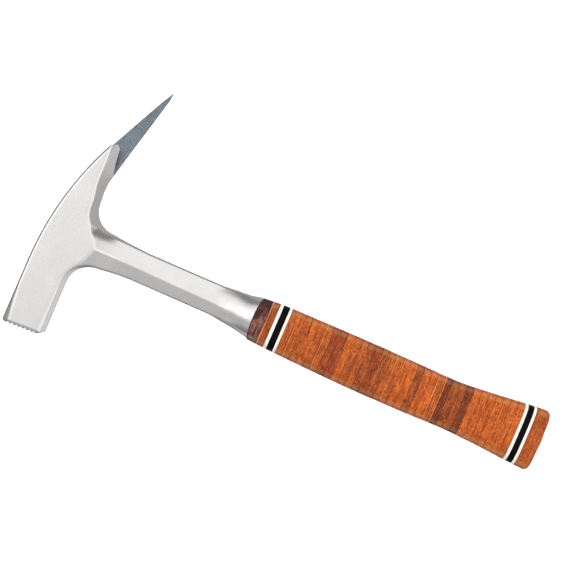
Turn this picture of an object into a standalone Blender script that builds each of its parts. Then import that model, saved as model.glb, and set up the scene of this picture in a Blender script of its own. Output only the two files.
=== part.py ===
"""One-piece side-claw hammer with a stacked leather grip, lying on its cheek.

Shapes are worked out in millimetres in a tool frame: x runs from the front of the head
to the butt, y from the striking face to the spike, z across the thickness with zero on
the middle plane.  place() turns every finished mesh into metres, centred over the origin
and resting on z = 0.
"""
import math

import bpy
from mathutils import Matrix, Vector

MM = 0.001

# Overall frame of the tool
FRONT_X = 1.3
BUTT_X = 318.8
FACE_Y = -58.6
TIP_Y = 104.8
CHEEK_HALF = 12.8
GAP = 0.3

# Poll and milled striking face
POLL_FRONT_X = 1.4
POLL_BACK_X = 26.4
POLL_DRAFT_FRONT = 0.9
POLL_DRAFT_BACK = 0.5
FACE_TILT = 0.044
# Cheek chamfers of the poll: side, edge, start, taper length, full width, fall per width
POLL_CHAMFERS = (
    (-1.0, 2.1, -29.0, 28.0, 3.7, 0.50),
    (1.0, 25.8, -22.0, 34.0, 3.3, 0.27),
)
RIM_WIDTH = 3.2
RIM_DEPTH = 1.7
TOOTH_PITCH = 2.7
TOOTH_COUNT = 7
TOOTH_DEPTH = 1.0
GROOVE_WIDTH = 2.2

# Outer curve of the head
SWEEP_CENTRE = (189.9, -19.4)
SWEEP_RADIUS = 188.6
SWEEP_DRAFT = 1.0

# Inner fillets between head and neck
LOWER_FILLET_CENTRE = (41.4, -24.0)
LOWER_FILLET_RADIUS = 15.0
UPPER_FILLET_CENTRE = (41.2, 27.4)
UPPER_FILLET_RADIUS = 14.0
CREASE_CENTRE = (41.8, 27.4)
CREASE_SIZE = (17.8, 16.7)
CREASE_SQUARENESS = 2.8

# Neck: six-sided section with a ridge on both faces
RIDGE_START_X = 36.0
RIDGE_START_Y = 1.5
RIDGE_SLOPE_Y = -0.0205
RIDGE_RISE = 0.40
RIDGE_LEVEL_X = 65.0
UPPER_FACET_SLOPE = 0.28
LOWER_FACET_SLOPE = 0.17
NECK_END_X = 134.0

# Claw prong and spike
NOTCH_Y = 44.0
NOTCH_Z = -0.3
NOTCH_KNEE = (52.0, 5.0)
PRONG_WALL_SLOPE = 0.257
PRONG_END_Y = 61.4
PRONG_END_X = 21.4
PRONG_END_SLOPE = 0.67
SPIKE_FRONT_SLOPE = -0.087
SPIKE_REAR_SLOPE = 0.0773

# Bolster, tang and butt
BOLSTER_X = 137.3
SEAT_BOW = 1.4
SEAT_CENTRE_Y = 1.0
SEAT_HALF = 13.0
TANG_START_X = 130.0
TANG_Y = 0.5
TANG_WIDTH = 12.0
TANG_THICKNESS = 6.0
PEEN_X = 317.5
PEEN_GROWTH = 1.5
END_WASHER_RADIUS = 9.0
END_WASHER_THICKNESS = 1.6
END_ROUNDING = 3.0

# Grip: station, upper edge, lower edge, half thickness
GRIP_STATIONS = (
    (137.3, 14.0, -12.2, 11.3),
    (150.0, 14.9, -13.1, 11.8),
    (175.0, 15.1, -14.2, 12.0),
    (205.0, 15.1, -15.1, 12.2),
    (240.0, 14.6, -15.2, 12.1),
    (262.0, 14.3, -14.9, 11.9),
    (285.0, 16.2, -15.9, 12.2),
    (304.0, 18.3, -17.4, 12.5),
    (316.0, 19.3, -18.1, 12.6),
    (322.0, 19.5, -18.3, 12.6),
)
GRIP_SQUARENESS = 3.3
RING_POINTS = 28
FIRST_WASHER_END = 143.5
FRONT_LEATHER_END = 148.0
FRONT_RING_ENDS = (150.0, 153.9, 155.6)
STACK_END = 302.5
STACK_COUNT = 33
REAR_RING_ENDS = (304.4, 307.9, 309.6)


def clear_scene():
    """Start from an empty scene."""
    for old in list(bpy.data.objects):
        bpy.data.objects.remove(old, do_unlink=True)


def make_material(name, colour, metallic, roughness):
    """One Principled material, named after the piece it belongs to."""
    material = bpy.data.materials.new(name)
    material.use_nodes = True
    shader = material.node_tree.nodes["Principled BSDF"]
    shader.inputs["Base Color"].default_value = (*colour, 1.0)
    shader.inputs["Metallic"].default_value = metallic
    shader.inputs["Roughness"].default_value = roughness
    return material


def make_object(name, points, faces):
    """A mesh object straight from points and faces, linked to the scene."""
    mesh = bpy.data.meshes.new(name)
    mesh.from_pydata([tuple(p) for p in points], [], faces)
    mesh.update()
    made = bpy.data.objects.new(name, mesh)
    bpy.context.scene.collection.objects.link(made)
    return made


def loft(name, rings):
    """A closed solid through rings of equal length, capped at both ends."""
    count = len(rings[0])
    points = [p for ring in rings for p in ring]
    faces = [tuple(reversed(range(count)))]
    for step in range(len(rings) - 1):
        base = step * count
        for k in range(count):
            a = base + k
            b = base + (k + 1) % count
            faces.append((a, b, b + count))
            faces.append((a, b + count, a + count))
    last = (len(rings) - 1) * count
    faces.append(tuple(range(last, last + count)))
    made = make_object(name, points, faces)
    make_outward(made)
    return made


def make_outward(made):
    """Flip the mesh when its enclosed volume comes out negative."""
    mesh = made.data
    mesh.calc_loop_triangles()
    volume = 0.0
    for tri in mesh.loop_triangles:
        a, b, c = (mesh.vertices[i].co for i in tri.vertices)
        volume += a.dot(b.cross(c))
    if volume < 0.0:
        mesh.flip_normals()


def combine(target, other, operation):
    """Bake an exact Boolean into the target and drop the other solid."""
    modifier = target.modifiers.new("combine", "BOOLEAN")
    modifier.operation = operation
    modifier.solver = "EXACT"
    modifier.object = other
    graph = bpy.context.evaluated_depsgraph_get()
    baked = bpy.data.meshes.new_from_object(target.evaluated_get(graph))
    target.modifiers.clear()
    stale = target.data
    target.data = baked
    bpy.data.meshes.remove(stale)
    bpy.data.objects.remove(other, do_unlink=True)


def place(made, colour, metallic, roughness):
    """Move a finished millimetre mesh to its place in metres and give it its material."""
    shift = Vector((-(FRONT_X + BUTT_X) / 2, -(FACE_Y + TIP_Y) / 2, CHEEK_HALF))
    made.data.transform(Matrix.Scale(MM, 4) @ Matrix.Translation(shift))
    made.data.materials.clear()
    made.data.materials.append(make_material(made.name, colour, metallic, roughness))


def arc(centre, radius, start, end, steps):
    """Points on a circle from one angle to another, in degrees."""
    angles = [math.radians(start + (end - start) * k / steps) for k in range(steps + 1)]
    return [(centre[0] + radius * math.cos(a), centre[1] + radius * math.sin(a)) for a in angles]


def sweep_arc(radius):
    """Outer curve of the head, from the claw down to the poll."""
    top = math.degrees(math.asin((62.0 - SWEEP_CENTRE[1]) / radius))
    return arc(SWEEP_CENTRE, radius, 180.0 - top, 180.0, 12)


def crease_line(steps):
    """Squarish bend of the cheek's edge from the neck up into the claw."""
    points = []
    for k in range(steps + 1):
        angle = math.pi / 2 * k / steps
        reach_x = CREASE_SIZE[0] * math.sin(angle) ** (2.0 / CREASE_SQUARENESS)
        reach_y = CREASE_SIZE[1] * math.cos(angle) ** (2.0 / CREASE_SQUARENESS)
        points.append((CREASE_CENTRE[0] - reach_x, CREASE_CENTRE[1] - reach_y))
    return points


def head_outlines():
    """Matching outlines at the front cheek, the middle plane and the rear cheek."""
    back_face_y = FACE_Y + FACE_TILT * (POLL_BACK_X - POLL_FRONT_X)
    middle = [(POLL_FRONT_X, FACE_Y), (POLL_BACK_X, back_face_y)]
    cheek = [(POLL_FRONT_X + POLL_DRAFT_FRONT, FACE_Y), (POLL_BACK_X - POLL_DRAFT_BACK, back_face_y)]
    middle += arc(LOWER_FILLET_CENTRE, LOWER_FILLET_RADIUS, 180.0, 90.0, 9)
    cheek += arc(LOWER_FILLET_CENTRE, LOWER_FILLET_RADIUS + 0.9, 180.0, 90.0, 9)
    middle += [(50.0, -7.9), (56.0, -7.45), (62.0, -7.3), (105.0, -7.6), (NECK_END_X, -7.9)]
    cheek += [(50.0, -6.7), (56.0, -6.15), (62.0, -5.95), (105.0, -6.2), (NECK_END_X, -6.5)]
    middle += [(NECK_END_X, 11.1), (65.0, 11.3), (50.0, 12.3)]
    cheek += [(NECK_END_X, 9.7), (65.0, 9.9), (50.0, 10.3)]
    middle += arc(UPPER_FILLET_CENTRE, UPPER_FILLET_RADIUS, 270.0, 180.0, 9)
    cheek += crease_line(9)
    front = list(cheek)
    rear = list(cheek)
    middle += [(26.6, 34.0), (26.8, 39.8), (31.9, 62.0), (34.0, 71.0), (40.6, 99.5), (40.9, TIP_Y)]
    front += [(22.4, 36.0), (22.0, 41.0), (21.7, 61.6), (22.2, 63.9), (37.5, 98.0), (40.2, 103.8)]
    rear += [(22.6, 34.5), (24.6, 40.6), (30.3, 62.0), (32.6, 71.0), (39.6, 99.0), (40.4, 103.8)]
    middle += [(39.5, 102.9), (35.2, 95.0)]
    front += [(39.7, 102.4), (36.0, 95.0)]
    rear += [(39.7, 102.4), (36.0, 95.0)]
    middle += sweep_arc(SWEEP_RADIUS)
    front += sweep_arc(SWEEP_RADIUS - SWEEP_DRAFT)
    rear += sweep_arc(SWEEP_RADIUS - SWEEP_DRAFT)
    return front, middle, rear


def head_blank():
    """Head and neck as one drafted blank, before any facet is cut."""
    front, middle, rear = head_outlines()
    rings = []
    for outline, level in ((rear, -CHEEK_HALF), (middle, 0.0), (front, CHEEK_HALF)):
        rings.append([(x, y, level) for x, y in outline])
    return loft("forging", rings)


def ridge_height(x):
    """Height of the neck ridge above the middle plane."""
    if x <= RIDGE_START_X:
        return CHEEK_HALF + RIDGE_RISE * (RIDGE_START_X - x)
    run = min(x, RIDGE_LEVEL_X) - RIDGE_START_X
    length = RIDGE_LEVEL_X - RIDGE_START_X
    return CHEEK_HALF - RIDGE_RISE * run + RIDGE_RISE * run * run / (2.0 * length)


def neck_cutter(side):
    """Roof-shaped cutter that leaves the two facets of one face of the neck."""
    reach = 22.0
    top = 25.0
    rings = []
    for x in (24.0, 36.0, 40.0, 44.0, 49.0, 56.0, 65.0, 140.0):
        ridge_y = RIDGE_START_Y + RIDGE_SLOPE_Y * (x - RIDGE_START_X)
        height = ridge_height(x)
        upper = height - UPPER_FACET_SLOPE * (reach - ridge_y)
        lower = height - LOWER_FACET_SLOPE * (reach + ridge_y)
        section = ((reach, upper), (reach, top), (-reach, top), (-reach, lower), (ridge_y, height))
        rings.append([(x, y, side * z) for y, z in section])
    return loft("cutter", rings)


def claw_cutter():
    """Removes the V of the claw and everything in front of the spike."""
    rings = []
    for x in (10.0, 50.0):
        end_y = PRONG_END_Y + PRONG_END_SLOPE * (x - PRONG_END_X)
        wall_z = NOTCH_KNEE[1] + PRONG_WALL_SLOPE * (end_y - NOTCH_KNEE[0])
        far_z = NOTCH_Z + SPIKE_FRONT_SLOPE * (120.0 - NOTCH_Y)
        section = [(NOTCH_Y, NOTCH_Z), NOTCH_KNEE, (end_y, wall_z), (end_y, 20.0)]
        section += [(120.0, 20.0), (120.0, far_z)]
        rings.append([(x, y, z) for y, z in section])
    return loft("cutter", rings)


def spike_back_cutter():
    """Tapers the spike from behind towards its tip."""
    start_y = 43.0
    start_z = -CHEEK_HALF - 0.15
    far_z = start_z + SPIKE_REAR_SLOPE * (120.0 - start_y)
    section = ((start_y, start_z), (120.0, far_z), (120.0, -25.0), (start_y, -25.0))
    return loft("cutter", [[(x, y, z) for y, z in section] for x in (10.0, 50.0)])


def cut_poll_chamfers(head):
    """Tapering chamfers along the poll's four long edges, shallower on the handle side."""
    end = FACE_Y - 5.4
    for across, edge_x, start, length, full_width, fall in POLL_CHAMFERS:
        for side in (-1.0, 1.0):
            level = side * CHEEK_HALF
            rings = []
            for y in (start, end):
                width = full_width * (start - y) / length + 0.05
                inner = Vector((edge_x - across * width, y, level))
                lower = Vector((edge_x, y, level - side * width * fall))
                stretch = 1.0 + 5.0 / (lower - inner).length
                far_in = lower.lerp(inner, stretch)
                far_out = inner.lerp(lower, stretch)
                outer = (edge_x + across * 8.0, y, level + side * 8.0)
                rings.append([far_in, far_out, outer])
            combine(head, loft("cutter", rings), "DIFFERENCE")


def cut_rim(head):
    """Bevel on all four edges of the striking face."""
    back_y = FACE_Y + FACE_TILT * (POLL_BACK_X - POLL_FRONT_X)
    for across, x, y in ((-1.0, POLL_FRONT_X, FACE_Y), (1.0, POLL_BACK_X, back_y)):
        rings = []
        for z in (-20.0, 20.0):
            inner = Vector((x - across * RIM_WIDTH, y, z))
            outer = Vector((x, y + RIM_DEPTH, z))
            along = (outer - inner) * 0.8
            corner = Vector((x + across * 3.0, y - 4.0, z))
            rings.append([inner - along, corner, outer + along])
        combine(head, loft("cutter", rings), "DIFFERENCE")
    for side in (-1.0, 1.0):
        rings = []
        for x in (-5.0, 33.0):
            y = FACE_Y + FACE_TILT * (x - POLL_FRONT_X)
            inner = Vector((x, y, side * (CHEEK_HALF - RIM_WIDTH)))
            outer = Vector((x, y + RIM_DEPTH, side * CHEEK_HALF))
            along = (outer - inner) * 0.8
            corner = Vector((x, y - 4.0, side * (CHEEK_HALF + 3.0)))
            rings.append([inner - along, corner, outer + along])
        combine(head, loft("cutter", rings), "DIFFERENCE")


def cut_teeth(head):
    """Crossed V grooves of the milled striking face."""
    centre_x = (POLL_FRONT_X + POLL_BACK_X) / 2
    half = GROOVE_WIDTH / 2
    flare = 1.0 + 1.0 / TOOTH_DEPTH
    for k in range(TOOTH_COUNT):
        offset = (k - (TOOTH_COUNT - 1) / 2) * TOOTH_PITCH
        x = centre_x + offset
        y = FACE_Y + FACE_TILT * (x - POLL_FRONT_X)
        floor = y + TOOTH_DEPTH
        section = [(x - 0.15, floor), (x - half * flare, y - 1.0)]
        section += [(x + half * flare, y - 1.0), (x + 0.15, floor)]
        rings = [[(px, py, z) for px, py in section] for z in (-20.0, 20.0)]
        combine(head, loft("cutter", rings), "DIFFERENCE")
    for k in range(TOOTH_COUNT):
        z = (k - (TOOTH_COUNT - 1) / 2) * TOOTH_PITCH
        rings = []
        for x in (-6.0, 34.0):
            y = FACE_Y + FACE_TILT * (x - POLL_FRONT_X)
            floor = y + TOOTH_DEPTH * 0.9
            section = [(floor, z - 0.15), (y - 1.0, z - half * flare)]
            section += [(y - 1.0, z + half * flare), (floor, z + 0.15)]
            rings.append([(x, py, pz) for py, pz in section])
        combine(head, loft("cutter", rings), "DIFFERENCE")


def oval(x, upper, lower, half_thickness, squareness=GRIP_SQUARENESS, turn=0.0):
    """One cross-section of the grip or bolster; turn shifts its points by part of a step."""
    centre = (upper + lower) / 2
    half_width = (upper - lower) / 2
    ring = []
    for k in range(RING_POINTS):
        angle = 2.0 * math.pi * (k + turn) / RING_POINTS
        c, s = math.cos(angle), math.sin(angle)
        y = centre + half_width * math.copysign(abs(c) ** (2.0 / squareness), c)
        z = half_thickness * math.copysign(abs(s) ** (2.0 / squareness), s)
        ring.append((x, y, z))
    return ring


def grip_size(x):
    """Upper edge, lower edge and half thickness of the grip, smoothly between stations."""
    stations = GRIP_STATIONS
    index = 0
    while index < len(stations) - 2 and x > stations[index + 1][0]:
        index += 1
    before = stations[max(index - 1, 0)]
    start, end = stations[index], stations[index + 1]
    after = stations[min(index + 2, len(stations) - 1)]
    span = end[0] - start[0]
    t = (x - start[0]) / span
    sizes = []
    for k in (1, 2, 3):
        slope_start = (end[k] - before[k]) / (end[0] - before[0]) * span
        slope_end = (after[k] - start[k]) / (after[0] - start[0]) * span
        sizes.append(
            start[k] * (2 * t ** 3 - 3 * t ** 2 + 1)
            + slope_start * (t ** 3 - 2 * t ** 2 + t)
            + end[k] * (3 * t ** 2 - 2 * t ** 3)
            + slope_end * (t ** 3 - t ** 2)
        )
    return sizes


def seat_bow(y):
    """How far the seat between bolster and first washer bows towards the head."""
    return SEAT_BOW * (1.0 - ((y - SEAT_CENTRE_Y) / SEAT_HALF) ** 2)


def bolster():
    """Flare from the neck to the oval seat of the grip, hollowed for the first washer."""
    sizes = (
        (104.0, 9.0, -5.6, 4.8),
        (112.0, 10.0, -6.7, 5.9),
        (119.0, 10.7, -7.8, 7.1),
        (125.0, 11.2, -8.8, 8.4),
        (129.0, 11.8, -9.7, 9.5),
        (133.0, 12.9, -10.6, 10.6),
        (136.0, 13.8, -11.3, 11.2),
        (139.0, 14.1, -12.0, 11.3),
    )
    flare = loft("bolster", [oval(*size, 2.5, 0.5) for size in sizes])
    steps = 16
    rows = [SEAT_CENTRE_Y + 20.0 * (2.0 * k / steps - 1.0) for k in range(steps + 1)]
    section = [(BOLSTER_X - seat_bow(y), y) for y in rows] + [(150.0, rows[-1]), (150.0, rows[0])]
    seat = loft("cutter", [[(x, y, z) for x, y in section] for z in (-20.0, 20.0)])
    combine(flare, seat, "DIFFERENCE")
    return flare


def slot_ring(x, grow=0.0):
    """Rectangle of the tang, or of the slot around it, at one station."""
    half_y = TANG_WIDTH / 2 + grow
    half_z = TANG_THICKNESS / 2 + grow
    corners = ((half_y, half_z), (-half_y, half_z), (-half_y, -half_z), (half_y, -half_z))
    return [(x, TANG_Y + y, z) for y, z in corners]


def tang():
    """Flat tang through the whole grip, ending in a peened head."""
    rings = [slot_ring(TANG_START_X), slot_ring(PEEN_X), slot_ring(PEEN_X, PEEN_GROWTH)]
    rings += [slot_ring(BUTT_X - 0.6, PEEN_GROWTH), slot_ring(BUTT_X - 0.2, PEEN_GROWTH - 0.6)]
    return loft("tang", rings)


def make_forging():
    """Head, neck, bolster and tang: one piece of steel."""
    head = head_blank()
    for side in (-1.0, 1.0):
        combine(head, neck_cutter(side), "DIFFERENCE")
    combine(head, claw_cutter(), "DIFFERENCE")
    combine(head, spike_back_cutter(), "DIFFERENCE")
    cut_poll_chamfers(head)
    cut_rim(head)
    cut_teeth(head)
    combine(head, bolster(), "UNION")
    combine(head, tang(), "UNION")
    place(head, (0.56, 0.56, 0.57), 1.0, 0.32)


def make_washer(name, start, end, colour, roughness, bowed=False):
    """One washer or ring of the grip with the slot that passes the tang."""
    outer = [oval(x, *grip_size(x)) for x in (start, end)]
    inner = [slot_ring(x, GAP) for x in (start, end)]
    if bowed:
        outer[0], inner[0] = ([(x - seat_bow(y), y, z) for x, y, z in ring] for ring in (outer[0], inner[0]))
    points = outer[0] + outer[1] + inner[0] + inner[1]
    slot = 2 * RING_POINTS
    quarter = RING_POINTS // 4
    faces = []
    for k in range(RING_POINTS):
        following = (k + 1) % RING_POINTS
        faces.append((k, following, following + RING_POINTS, k + RING_POINTS))
        corner = k // quarter
        faces.append((following, k, slot + corner))
        faces.append((k + RING_POINTS, following + RING_POINTS, slot + 4 + corner))
    for corner in range(4):
        following = (corner + 1) % 4
        meeting = following * quarter
        faces.append((meeting, slot + corner, slot + following))
        faces.append((meeting + RING_POINTS, slot + 4 + following, slot + 4 + corner))
        faces.append((slot + following, slot + corner, slot + 4 + corner, slot + 4 + following))
    made = make_object(name, points, faces)
    make_outward(made)
    place(made, colour, 0.0, roughness)


def make_end_piece(start, colour):
    """Leather end piece with rounded corners, a tang slot and a seat for the steel washer."""
    rings = [oval(start, *grip_size(start))]
    upper, lower, half = grip_size(BUTT_X - END_ROUNDING)
    for k in range(5):
        angle = math.radians(90.0 * k / 4)
        inset = END_ROUNDING * (1.0 - math.cos(angle))
        x = BUTT_X - END_ROUNDING * (1.0 - math.sin(angle))
        rings.append(oval(x, upper - inset, lower + inset, half - inset))
    made = loft("end_leather", rings)
    slot = loft("cutter", [slot_ring(start - 5.0, GAP), slot_ring(BUTT_X + 5.0, GAP)])
    combine(made, slot, "DIFFERENCE")
    seat_x = PEEN_X - GAP - END_WASHER_THICKNESS - GAP
    seat = disc("cutter", seat_x, BUTT_X + 5.0, END_WASHER_RADIUS + GAP)
    combine(made, seat, "DIFFERENCE")
    place(made, colour, 0.0, 0.55)


def disc(name, start, end, radius):
    """Round solid about the tang."""
    rings = []
    for x in (start, end):
        ring = []
        for k in range(24):
            angle = 2.0 * math.pi * k / 24
            ring.append((x, TANG_Y + radius * math.cos(angle), radius * math.sin(angle)))
        rings.append(ring)
    return loft(name, rings)


def make_end_washer():
    """Steel washer that the peened end of the tang bears on."""
    end = PEEN_X - GAP
    made = disc("end_washer", end - END_WASHER_THICKNESS, end, END_WASHER_RADIUS)
    slot = loft("cutter", [slot_ring(end - 5.0, GAP), slot_ring(end + 5.0, GAP)])
    combine(made, slot, "DIFFERENCE")
    place(made, (0.45, 0.45, 0.46), 1.0, 0.4)


def leather_colour(index):
    """Tan leather with every few washers darker, as in a real stack."""
    shade = 1.0 - 0.45 * abs(math.sin(index * 1.7)) * abs(math.cos(index * 0.6))
    return (0.42 * shade, 0.13 * shade, 0.045 * shade)


def main():
    clear_scene()
    make_forging()
    white = (0.8, 0.78, 0.74)
    black = (0.012, 0.012, 0.013)
    make_washer("first_washer", BOLSTER_X + GAP, FIRST_WASHER_END, (0.06, 0.02, 0.017), 0.5, True)
    make_washer("front_leather", FIRST_WASHER_END + GAP, FRONT_LEATHER_END, leather_colour(0), 0.5)
    start = FRONT_LEATHER_END
    for name, end, colour in zip(("a_white", "b_black", "c_white"), FRONT_RING_ENDS, (white, black, white)):
        make_washer("front_ring_" + name, start + GAP, end, colour, 0.35)
        start = end
    pitch = (STACK_END - start) / STACK_COUNT
    for k in range(STACK_COUNT):
        name = "leather_{:02d}".format(k + 1)
        make_washer(name, start + k * pitch + GAP, start + (k + 1) * pitch, leather_colour(k), 0.5)
    start = STACK_END
    for name, end, colour in zip(("a_white", "b_black", "c_white"), REAR_RING_ENDS, (white, black, white)):
        make_washer("rear_ring_" + name, start + GAP, end, colour, 0.35)
        start = end
    make_end_piece(start + GAP, (0.36, 0.11, 0.04))
    make_end_washer()


main()
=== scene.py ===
"""Looks of the one-piece hammer: a finer forging, a lacquered leather grip, camera and studio.

Shapes are worked out in millimetres in the same tool frame as the CAD part: x runs from the
front of the head to the butt, y from the striking face to the spike, z across the thickness
with zero on the middle plane.  to_world() turns them into the frame's metres.
"""

import math
import random

import bpy
import numpy as np
from mathutils import Matrix, Vector


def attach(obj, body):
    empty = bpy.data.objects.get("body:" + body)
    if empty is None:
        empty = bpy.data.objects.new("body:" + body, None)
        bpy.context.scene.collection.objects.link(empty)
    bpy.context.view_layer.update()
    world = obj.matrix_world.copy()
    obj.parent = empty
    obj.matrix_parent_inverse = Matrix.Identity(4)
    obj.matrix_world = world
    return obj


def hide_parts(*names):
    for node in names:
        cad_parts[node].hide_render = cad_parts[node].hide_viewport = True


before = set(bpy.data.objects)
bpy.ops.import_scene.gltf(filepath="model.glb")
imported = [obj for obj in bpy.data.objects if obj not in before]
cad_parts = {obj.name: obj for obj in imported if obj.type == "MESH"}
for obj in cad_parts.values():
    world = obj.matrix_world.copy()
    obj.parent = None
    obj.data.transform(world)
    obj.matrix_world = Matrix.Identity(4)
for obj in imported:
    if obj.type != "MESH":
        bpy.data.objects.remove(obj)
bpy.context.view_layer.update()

MM = 0.001

# Tool frame against world frame
FRONT_X = 1.3
BUTT_X = 318.8
FACE_Y = -58.6
TIP_Y = 104.8
CHEEK_HALF = 12.8
CENTRE_X = (FRONT_X + BUTT_X) / 2
CENTRE_Y = (FACE_Y + TIP_Y) / 2

# Poll and milled striking face
POLL_FRONT_X = 1.4
POLL_BACK_X = 26.4
POLL_DRAFT_FRONT = 0.9
POLL_DRAFT_BACK = 0.5
POLL_TOP_Y = -27.0
FACE_TILT = 0.044
RIM_WIDTH = 3.2
RIM_DEPTH = 1.7
TOOTH_PITCH = 2.7
TOOTH_COUNT = 7
TOOTH_DEPTH = 1.0
GROOVE_HALF = 1.1
GROOVE_FILL = 1.15

# Chamfers along the cheeks: where each starts in y, its run and its full width
FRONT_CHAMFER = (-29.0, 28.0, 3.7)
BACK_CHAMFER = (-14.0, 42.0, 3.3)
CHAMFER_LIMIT = 1.1
FRONT_FALL = 0.50
BACK_FALL = 0.27
EDGE_CHAMFER = 0.9
SWEEP_CHAMFER = 0.95

# Head outline
BELOW_FACE = 6.0
SWEEP_CENTRE = (189.9, -19.4)
SWEEP_RADIUS = 188.6
SWEEP_DRAFT = 1.0
SWEEP_TOP_Y = 62.0
FILLET_DRAFT = 0.9
LOWER_FILLET_CENTRE = (41.4, -24.0)
LOWER_FILLET_RADIUS = 15.0
UPPER_FILLET_CENTRE = (41.2, 27.4)
UPPER_FILLET_RADIUS = 14.0
CREASE_CENTRE = (41.8, 27.4)
CREASE_SIZE = (17.8, 16.7)
CREASE_SQUARENESS = 2.8
ARC_STEPS = 24
SWEEP_STEPS = 40

# Neck
RIDGE_START_X = 36.0
RIDGE_START_Y = 1.5
RIDGE_SLOPE_Y = -0.0205
RIDGE_RISE = 0.40
RIDGE_LEVEL_X = 65.0
UPPER_FACET_SLOPE = 0.28
LOWER_FACET_SLOPE = 0.17
NECK_END_X = 134.0
FACET_REACH = 14.0
FACET_LIFT = 0.12

# Claw prong and spike
NOTCH_Y = 44.0
NOTCH_Z = -0.3
NOTCH_KNEE = (52.0, 5.0)
NOTCH_STEEP = 0.6625
NOTCH_BLEND = 2.0
PRONG_WALL_SLOPE = 0.257
PRONG_END_Y = 61.4
PRONG_END_X = 21.4
PRONG_END_SLOPE = 0.67
SPIKE_FRONT_SLOPE = -0.087
SPIKE_REAR_START = (43.0, -12.95)
SPIKE_REAR_SLOPE = 0.0773

# Edge softness of the forging
CHEEK_EDGE = 0.8
FACET_EDGE = 0.5
RIDGE_EDGE = 0.3
CLAW_EDGE = 0.45
PRONG_END_EDGE = 0.3
SPIKE_EDGE = 0.8
SPIKE_BACK_EDGE = 0.6
SEAT_EDGE = 0.4

# Dip of the neck under its upper crease
SHOULDER_START_Y = 6.5
SHOULDER_DROP = 0.075
SHOULDER_RISE = (28.0, 33.0)
SHOULDER_FADE = (37.0, 50.0)
SHOULDER_REACH = 6.0

# Blend of the neck into the bolster
BOLSTER_FROM_X = 105.0
BOLSTER_BLEND = 3.5
BOLSTER_BLEND_RISE = (106.0, 124.0)

GRID_FINE = 0.42
TIP_SHARE = 0.6

# How far a height over each slanted face turns into a distance from it
SIDE_SLANT = 0.97
ROOF_SLANT = 0.93
RIM_SLANT = 0.88
END_SLANT = 0.83
TOOTH_SLANT = 0.8

# Bolster: station, upper edge, lower edge, half thickness
BOLSTER_X = 137.3
BOLSTER_SIZES = (
    (104.0, 9.0, -5.6, 4.8),
    (112.0, 10.0, -6.7, 5.9),
    (119.0, 10.7, -7.8, 7.1),
    (125.0, 11.2, -8.8, 8.4),
    (129.0, 11.8, -9.7, 9.5),
    (133.0, 12.9, -10.6, 10.6),
    (136.0, 13.8, -11.3, 11.2),
    (138.0, 14.2, -12.0, 11.4),
)
BOLSTER_SQUARENESS = 2.4
SEAT_BOW = 1.4
SEAT_CENTRE_Y = 1.0
SEAT_HALF = 13.0

# Tang and butt
TANG_START_X = 130.0
TANG_Y = 0.5
TANG_WIDTH = 12.0
TANG_THICKNESS = 6.0
PEEN_X = 317.5
PEEN_GROWTH = 1.5
PEEN_RECESS = 0.2
TANG_RECESS = 0.6
END_WASHER_RADIUS = 9.0
END_WASHER_THICKNESS = 1.6
END_ROUNDING = 3.0
END_ROUNDING_STEPS = 8
BUTT_CROWN = 0.3
BUTT_BORDER = 2.5
SEAT_LIP = 0.4
WASHER_CHAMFER = 0.3

# Grip: station, upper edge, lower edge, half thickness
GRIP_STATIONS = (
    (137.3, 14.0, -12.2, 11.3),
    (150.0, 14.9, -13.1, 11.8),
    (175.0, 15.1, -14.2, 12.0),
    (205.0, 15.1, -15.1, 12.2),
    (240.0, 14.6, -15.2, 12.1),
    (262.0, 14.3, -14.9, 11.9),
    (285.0, 16.2, -15.9, 12.2),
    (304.0, 18.3, -17.4, 12.5),
    (316.0, 19.3, -18.1, 12.6),
    (322.0, 19.5, -18.3, 12.6),
)
GRIP_SQUARENESS = 3.3
RING_POINTS = 128
PIECE_GAP = 0.05
PALE_WIDTH = 0.6
SLOT_GAP = 0.3
PROUD_SPREAD = 0.05
PROUD_SEED = 7
FIRST_WASHER_END = 143.5
FRONT_LEATHER_END = 148.0
FRONT_RING_ENDS = (150.0, 153.9, 155.6)
STACK_END = 302.5
STACK_COUNT = 33
REAR_RING_ENDS = (304.4, 307.9, 309.6)

# Softened edges of the washers: size of each, then steps along the grip and inwards in edge sizes
FIRST_WASHER_EDGE = 0.25
FRONT_LEATHER_EDGE = 0.2
STACK_EDGE = 0.14
SPACER_EDGE = 0.12
CAP_EDGE = 0.2
EDGE_STEPS = ((0.0, 1.3), (0.35, 0.4), (1.0, 0.0))

# Camera: square on to the hammer's side, turned so the handle runs down to the right
VIEW_X = 142.9
VIEW_Y = 27.0
VIEW_DISTANCE = 1040.0
VIEW_WIDTH = 331.0
VIEW_UP = (-0.3962, 0.9182, 0.0)
SENSOR = 36.0


def to_world(points):
    """Tool-frame millimetres to world metres."""
    shift = np.array((-CENTRE_X, -CENTRE_Y, CHEEK_HALF))
    return (np.asarray(points, float) + shift) * MM


def mesh_object(name, points, faces, materials, face_slots=None):
    """A smooth-shaded mesh object from tool-frame points."""
    mesh = bpy.data.meshes.new(name)
    mesh.from_pydata(to_world(points).tolist(), [], faces)
    for material in materials:
        mesh.materials.append(material)
    if face_slots is not None:
        mesh.polygons.foreach_set("material_index", face_slots)
    mesh.polygons.foreach_set("use_smooth", [True] * len(mesh.polygons))
    mesh.update()
    made = bpy.data.objects.new(name, mesh)
    bpy.context.scene.collection.objects.link(made)
    return made


# ---------------------------------------------------------------- forging as a distance field


def soft_max(a, b, width):
    """Larger of two fields, rounded over the given width."""
    gap = np.maximum(width - np.abs(a - b), 0.0)
    return np.maximum(a, b) + gap * gap / (4.0 * width)


def soft_min(a, b, width):
    """Smaller of two fields, blended over the given width."""
    return -soft_max(-a, -b, width)


def smooth_step(value, low, high):
    """Rises smoothly from 0 to 1 between two limits."""
    t = np.clip((value - low) / (high - low), 0.0, 1.0)
    return t * t * (3.0 - 2.0 * t)


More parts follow.
